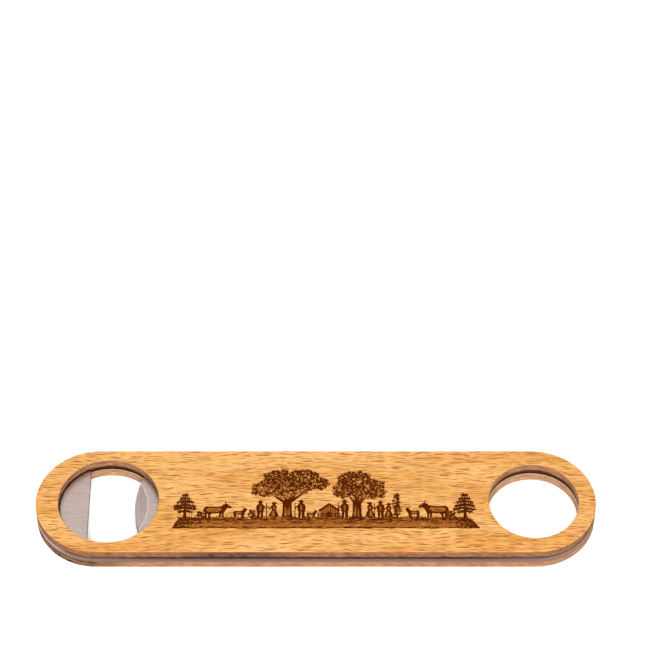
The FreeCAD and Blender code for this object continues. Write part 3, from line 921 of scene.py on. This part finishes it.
def steel_material(holes, under, over):
    """Stainless sheet from height under to over, brushed along X and only partly bare where cut."""
    g = Graph("brushed_stainless")
    lines = g.noise(g.scaled(g.place, (0.12, 2.2, 0.5)), 3.0, 0.65)
    fine = g.noise(g.scaled(g.place, (0.8, 12.0, 2.0)), 2.0, 0.6)
    blotchy_noise = g.noise(g.scaled(g.place, (0.5, 0.5, 0.9)), 4.0, 0.65)
    side = g.ramp(g.math("ABSOLUTE", g.steepness()), 0.97, 0.8)
    near_hole_walls = g.near_holes(holes)
    cap_window = min(holes)
    face = steel_face(g, lines, blotchy_noise, cap_window)
    edge = steel_edge(g, blotchy_noise, near_hole_walls, under, over)
    bare = g.ramp(near_hole_walls, 0.0, 1.0, 0.7, 0.0)
    metallic = g.add("ShaderNodeMix", {"data_type": "FLOAT"}, Factor=side, A=1.0, B=bare).outputs[0]
    rough = g.math("ADD", g.math("MULTIPLY", fine, 0.2), 0.28)
    return g.shade(
        Base_Color=g.mix(side, face, edge),
        Metallic=metallic,
        Roughness=g.math("ADD", rough, g.math("MULTIPLY", side, 0.2)),
        Specular_IOR_Level=g.ramp(g.math("MULTIPLY", side, near_hole_walls), 0.0, 1.0, 0.5, 0.02),
        Normal=g.bump(g.math("ADD", lines, fine), 0.25, 0.01 * MM),
    )


def film_material():
    """Dark adhesive film, patchy in colour and in gloss."""
    g = Graph("adhesive_film")
    patches = g.noise(g.scaled(g.place, (0.6, 0.6, 0.6)), 3.0, 0.6)
    colour = g.mix(g.ramp(patches, 0.35, 0.7), rgb(0.012, 0.005, 0.003), rgb(0.05, 0.024, 0.013))
    return g.shade(
        Base_Color=colour,
        Roughness=g.ramp(patches, 0.3, 0.7, 0.55, 0.85),
        Specular_IOR_Level=0.1,
        Normal=g.bump(patches, 0.4, 0.05 * MM),
    )


def floor_material():
    """Matt white studio card."""
    g = Graph("studio_card")
    tooth = g.noise(g.scaled(g.place, (0.4, 0.4, 0.4)), 3.0)
    return g.shade(
        Base_Color=g.mix(tooth, rgb(0.95, 0.95, 0.95), rgb(0.97, 0.97, 0.97)),
        Roughness=0.9,
        Specular_IOR_Level=0.2,
    )


# ---------------------------------------------------------------- camera, light and floor


def make_camera(top):
    """A long lens in front of the opener, well above it."""
    elevation = math.radians(50.226)
    distance = 0.92866
    aim = Vector((0.00216, 0.07451, top))
    data = bpy.data.cameras.new("camera")
    data.sensor_width = 36.0
    data.lens = 153.09
    camera = bpy.data.objects.new("camera", data)
    bpy.context.scene.collection.objects.link(camera)
    camera.location = aim + distance * Vector((0.0, -math.cos(elevation), math.sin(elevation)))
    camera.rotation_euler = (math.pi / 2 - elevation, 0.0, 0.0)
    bpy.context.scene.camera = camera


def add_softbox(name, place, size, watts):
    """A rectangular light that faces the opener. It isn't reflected, or the steel would burn out."""
    data = bpy.data.lights.new(name, "AREA")
    data.shape = "RECTANGLE"
    data.size, data.size_y = size
    data.energy = watts
    light = bpy.data.objects.new(name, data)
    bpy.context.scene.collection.objects.link(light)
    light.location = place
    light.visible_glossy = False
    light.rotation_euler = (-Vector(place)).to_track_quat("-Z", "Y").to_euler()


def make_light():
    scene = bpy.context.scene
    scene.view_settings.view_transform = "Standard"
    world = bpy.data.worlds.new("studio")
    world.use_nodes = True
    background = world.node_tree.nodes["Background"]
    background.inputs["Color"].default_value = rgb(1.0, 0.985, 0.97)
    background.inputs["Strength"].default_value = 0.85
    scene.world = world
    add_softbox("overhead", (-0.1, -0.1, 0.94), (1.1, 0.8), 8.0)
    add_softbox("front", (0.15, -0.85, 0.6), (1.1, 0.5), 10.0)


def make_floor():
    gap = 0.02 * MM
    bpy.ops.mesh.primitive_plane_add(size=12.0, location=(0.0, 0.0, cad_box[0].z - gap))
    floor = bpy.context.object
    floor.name = "floor"
    floor.data.materials.append(floor_material())


# ---------------------------------------------------------------- the opener

nodes = frame["nodes"]
blade_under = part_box("bottom_bonding_film")[1].z
blade_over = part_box("top_bonding_film")[0].z
holes = []
for mount in frame["record"]["mounts"]:
    if mount["kind"] == "bore":
        holes.append((*mount["pos_m"][:2], mount["dims"]["r_mm"] * MM))

make_camera(cad_box[1].z)
make_light()
make_floor()

upper_beech = beech_material(
    "engraved_beech", 1.0, holes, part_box("top_scale")[0].z,
    outer=(rgb(0.15, 0.058, 0.026), rgb(0.27, 0.112, 0.053)),
    inner=(rgb(0.21, 0.09, 0.043), rgb(0.37, 0.185, 0.10)),
    bare_up_and_lit_ledges=None, char_and_shade=(0.95, 0.65), smoke=(-26.0 * MM, 24.0 * MM, 0.95),
)
lower_beech = beech_material(
    "plain_beech", 4.0, holes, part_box("bottom_scale")[1].z,
    outer=(rgb(0.24, 0.115, 0.06), rgb(0.345, 0.185, 0.102)),
    inner=(rgb(0.30, 0.152, 0.08), rgb(0.46, 0.265, 0.155)),
    bare_up_and_lit_ledges=(rgb(0.36, 0.21, 0.135), rgb(0.58, 0.36, 0.23)),
    char_and_shade=(0.45, 0.3), smoke=(-80.0 * MM, 26.0 * MM, 1.0),
)
make_engraved_scale().data.materials.append(upper_beech)
nodes["bottom_scale"].data.materials[0] = lower_beech
nodes["steel_blade"].data.materials[0] = steel_material(holes, blade_under, blade_over)
film = film_material()
nodes["top_bonding_film"].data.materials[0] = film
nodes["bottom_bonding_film"].data.materials[0] = film
